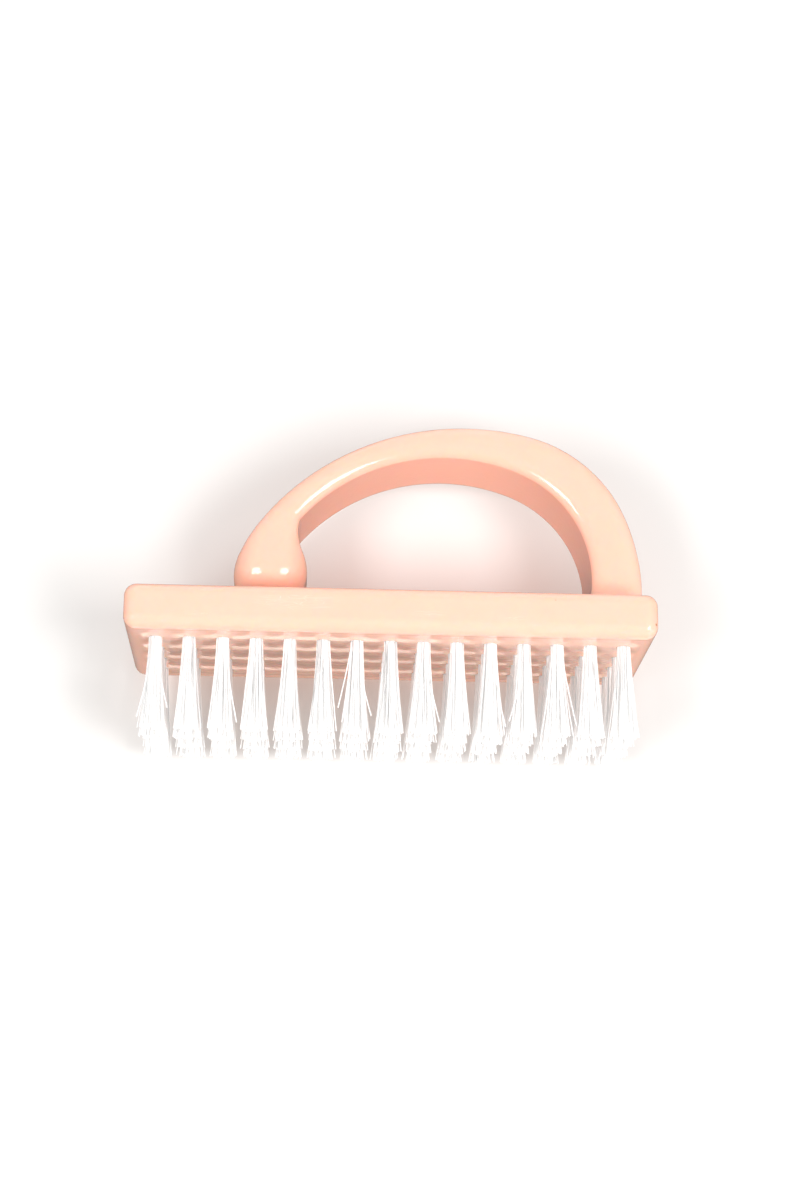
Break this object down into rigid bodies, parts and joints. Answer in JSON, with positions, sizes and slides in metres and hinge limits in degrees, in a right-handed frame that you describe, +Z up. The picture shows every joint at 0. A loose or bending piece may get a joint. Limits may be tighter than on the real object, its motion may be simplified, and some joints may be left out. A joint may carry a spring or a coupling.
{
  "type": "nail brush",
  "caption": "Nail brush: a moulded plastic block with an open hook handle on top and rows of flared nylon tufts below, each held by a metal anchor.",
  "frame": {"origin": "centre of the brush's length and width, on the plane of the bristle tips", "axes": "+Z up from the bristle tips to the handle, +X along the block towards the handle's fixed leg, +Y across the block; the picture looks along +Y"},
  "size_m": [0.09, 0.036, 0.056],
  "materials": {
    "peach_plastic": "glossy injection-moulded polypropylene",
    "nylon_bristle": "translucent white nylon filament",
    "anchor_wire": "flat drawn wire"
  },
  "bodies": {
    "root": {"brush_body": "peach_plastic", "bristle_tufts_01": "nylon_bristle", "bristle_tufts_02": "nylon_bristle", "bristle_tufts_03": "nylon_bristle", "bristle_tufts_04": "nylon_bristle", "bristle_tufts_05": "nylon_bristle", "bristle_tufts_06": "nylon_bristle", "bristle_tufts_07": "nylon_bristle", "bristle_tufts_08": "nylon_bristle", "bristle_tufts_09": "nylon_bristle", "bristle_tufts_10": "nylon_bristle", "bristle_tufts_11": "nylon_bristle", "bristle_tufts_12": "nylon_bristle", "bristle_tufts_13": "nylon_bristle", "bristle_tufts_14": "nylon_bristle", "bristle_tufts_15": "nylon_bristle", "anchor_staples_01": "anchor_wire", "anchor_staples_02": "anchor_wire", "anchor_staples_03": "anchor_wire", "anchor_staples_04": "anchor_wire", "anchor_staples_05": "anchor_wire", "anchor_staples_06": "anchor_wire", "anchor_staples_07": "anchor_wire", "anchor_staples_08": "anchor_wire", "anchor_staples_09": "anchor_wire", "anchor_staples_10": "anchor_wire", "anchor_staples_11": "anchor_wire", "anchor_staples_12": "anchor_wire", "anchor_staples_13": "anchor_wire", "anchor_staples_14": "anchor_wire", "anchor_staples_15": "anchor_wire"}
  },
  "joints": []
}
